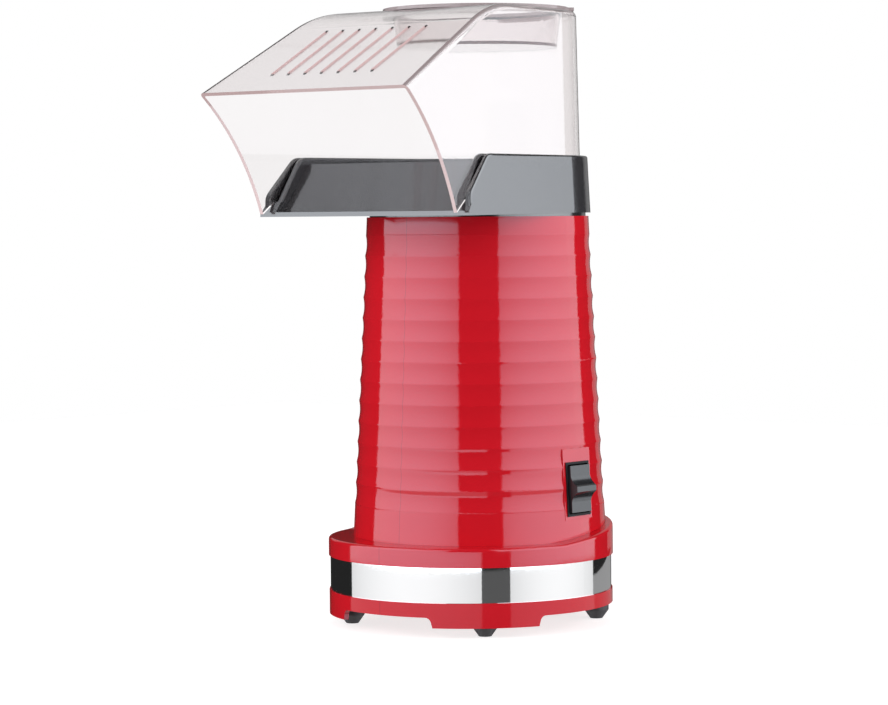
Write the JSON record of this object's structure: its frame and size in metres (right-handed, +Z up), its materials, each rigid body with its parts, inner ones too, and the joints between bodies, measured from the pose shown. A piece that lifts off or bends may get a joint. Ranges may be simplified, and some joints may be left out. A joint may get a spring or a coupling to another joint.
{
  "type": "popcorn maker",
  "caption": "Hot-air popcorn maker: ridged round body on a banded base, side rocker switch, chute collar, clear lift-off hood with vent slots and a measuring cup in its top.",
  "frame": {"origin": "on the floor under the middle of the whole object's box", "axes": "+Z up, -Y to the front where the popcorn comes out, +X to the side with the switch"},
  "size_m": [0.1392, 0.1936, 0.2993],
  "materials": {
    "red_plastic": "glossy moulded plastic",
    "black_plastic": "glossy moulded plastic",
    "clear_plastic": "clear moulded plastic with a faint warm tint",
    "chrome": "polished",
    "rubber": "matt",
    "aluminium": "spun",
    "sheet_steel": "galvanised",
    "bright_steel": "bright",
    "seat_plastic": "heat-proof plastic",
    "mica": "pressed mica sheet",
    "heater_metal": "oxidised",
    "thermostat_body": "moulded",
    "fuse_body": "plain",
    "motor_plastic": "moulded",
    "magnet": "sintered",
    "bronze": "sintered",
    "armature_iron": "laminated, wound",
    "fan_plastic": "moulded nylon",
    "circuit_board": "laminate",
    "diode": "moulded",
    "brass": "plain"
  },
  "bodies": {
    "root": {"housing": "red_plastic", "base_flange": "red_plastic", "base_tray": "red_plastic", "switch_body": "black_plastic", "cord_gland": "black_plastic", "gland_nut": "black_plastic", "chrome_band": "chrome", "rubber_feet": "rubber", "popping_chamber": "aluminium", "heater_can": "sheet_steel", "motor_plate": "sheet_steel", "motor_can": "sheet_steel", "rocker_pin": "bright_steel", "base_screws": "bright_steel", "plate_screws": "bright_steel", "motor_screws": "bright_steel", "chamber_seat": "seat_plastic", "mica_frame": "mica", "heater_element": "heater_metal", "thermostat": "thermostat_body", "thermal_fuse": "fuse_body", "motor_end_bell": "motor_plastic", "motor_magnets": "magnet", "motor_bushes": "bronze", "rectifier_board": "circuit_board", "rectifier_diodes": "diode", "switch_terminals": "brass"},
    "collar": {"chute_collar": "black_plastic"},
    "hood": {"hood": "clear_plastic"},
    "cup": {"measuring_cup": "clear_plastic"},
    "rocker": {"rocker": "black_plastic"},
    "rotor": {"motor_shaft": "bright_steel", "armature": "armature_iron", "fan": "fan_plastic"}
  },
  "joints": [
    {"name": "chute_lift", "type": "slide", "parent": "root", "child": "collar", "axis": [0, 0, 1], "range_m": [0, 0.06]},
    {"name": "hood_lift", "type": "slide", "parent": "collar", "child": "hood", "axis": [0, 0, 1], "range_m": [0, 0.06]},
    {"name": "cup_lift", "type": "slide", "parent": "hood", "child": "cup", "axis": [0, 0, 1], "range_m": [0, 0.05]},
    {"name": "rocker_tilt", "type": "hinge", "parent": "root", "child": "rocker", "pos_m": [0.05911, 0.03319, 0.06725], "axis": [0, 1, 0], "range_deg": [-8, 8]},
    {"name": "fan_spin", "type": "hinge", "parent": "root", "child": "rotor", "pos_m": [0, 0.03319, 0.06], "axis": [0, 0, 1], "continuous": true}
  ]
}
